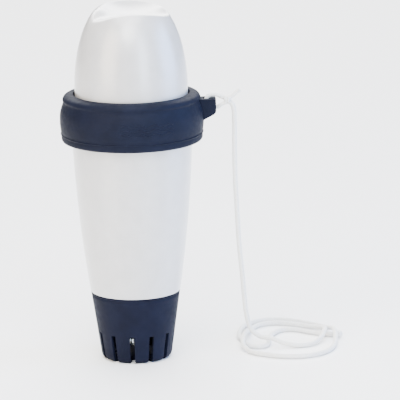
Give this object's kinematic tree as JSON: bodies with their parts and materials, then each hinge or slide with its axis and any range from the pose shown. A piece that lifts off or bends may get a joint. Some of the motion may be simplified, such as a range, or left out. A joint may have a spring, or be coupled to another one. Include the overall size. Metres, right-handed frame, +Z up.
{
  "type": "floating pool water analyser",
  "caption": "Upright floating pool-water analyser: pearl-white two-shell capsule, navy bumper ring with a tethered lug, slotted sensor guard at the foot, probe and electronics inside.",
  "frame": {"origin": "centre of the flat foot of the sensor guard, on the capsule's axis", "axes": "+Z up along the capsule's axis, +X towards the tether lug"},
  "size_m": [0.1977, 0.1344, 0.2509],
  "materials": {
    "pearl_shell": "pearlescent white, satin gloss",
    "navy_ring": "matte navy elastomer with a fine grain",
    "navy_guard": "moulded navy plastic, satin",
    "seal_rubber": "black seal rubber",
    "dark_plastic": "graphite moulded plastic",
    "steel": "bright steel",
    "contact_metal": "gilt contact metal",
    "ballast_iron": "cast, lacquered",
    "circuit_board": "solder mask green",
    "chip_black": "moulded epoxy",
    "cell_sleeve": "blue film sleeve",
    "clear_glass": "clear",
    "ceramic": "porous off-white ceramic",
    "ribbon_film": "grey film",
    "braided_cord": "white braid"
  },
  "bodies": {
    "hull": {"lower_shell": "pearl_shell", "sensor_bulkhead": "dark_plastic", "bulkhead_o_ring": "seal_rubber", "bulkhead_screw_1": "steel", "bulkhead_screw_2": "steel", "bulkhead_screw_3": "steel", "probe_body": "dark_plastic", "probe_o_ring": "seal_rubber", "ph_bulb": "clear_glass", "orp_pin": "contact_metal", "conductivity_pin_1": "steel", "conductivity_pin_2": "steel", "temperature_pin": "steel", "reference_junction": "ceramic", "probe_socket": "dark_plastic", "probe_board": "circuit_board", "ballast_ring": "ballast_iron", "chassis_frame": "dark_plastic", "cell_contact_bottom": "contact_metal", "cell_contact_top": "contact_metal", "battery_cell_1": "cell_sleeve", "battery_cell_2": "cell_sleeve", "main_board": "circuit_board", "microcontroller": "chip_black", "radio_shield": "steel", "status_led": "clear_glass", "antenna": "chip_black", "board_screw_1": "steel", "board_screw_2": "steel", "board_screw_3": "steel", "board_screw_4": "steel", "sensor_ribbon": "ribbon_film"},
    "collar": {"fastening_ring": "navy_ring", "tether_loop": "braided_cord", "tether_hitch": "braided_cord", "tether_tail": "braided_cord", "tether_cord": "braided_cord", "tether_end_knot": "braided_cord"},
    "dome_seal": {"dome_o_ring": "seal_rubber"},
    "dome": {"upper_shell": "pearl_shell"},
    "guard_seal": {"guard_gasket": "seal_rubber"},
    "guard": {"sensor_guard": "navy_guard"}
  },
  "joints": [
    {"name": "ring_swivel", "type": "hinge", "parent": "hull", "child": "collar", "pos_m": [0, 0, 0.17], "axis": [0, 0, 1], "continuous": true},
    {"name": "dome_lift", "type": "slide", "parent": "hull", "child": "dome_seal", "axis": [0, 0, 1], "range_m": [0, 0.09]},
    {"name": "dome_turn", "type": "hinge", "parent": "dome_seal", "child": "dome", "pos_m": [0, 0, 0.18], "axis": [0, 0, 1], "range_deg": [0, 45]},
    {"name": "guard_drop", "type": "slide", "parent": "hull", "child": "guard_seal", "axis": [0, 0, -1], "range_m": [0, 0.06]},
    {"name": "guard_turn", "type": "hinge", "parent": "guard_seal", "child": "guard", "pos_m": [0, 0, 0.04], "axis": [0, 0, -1], "range_deg": [0, 45]}
  ]
}
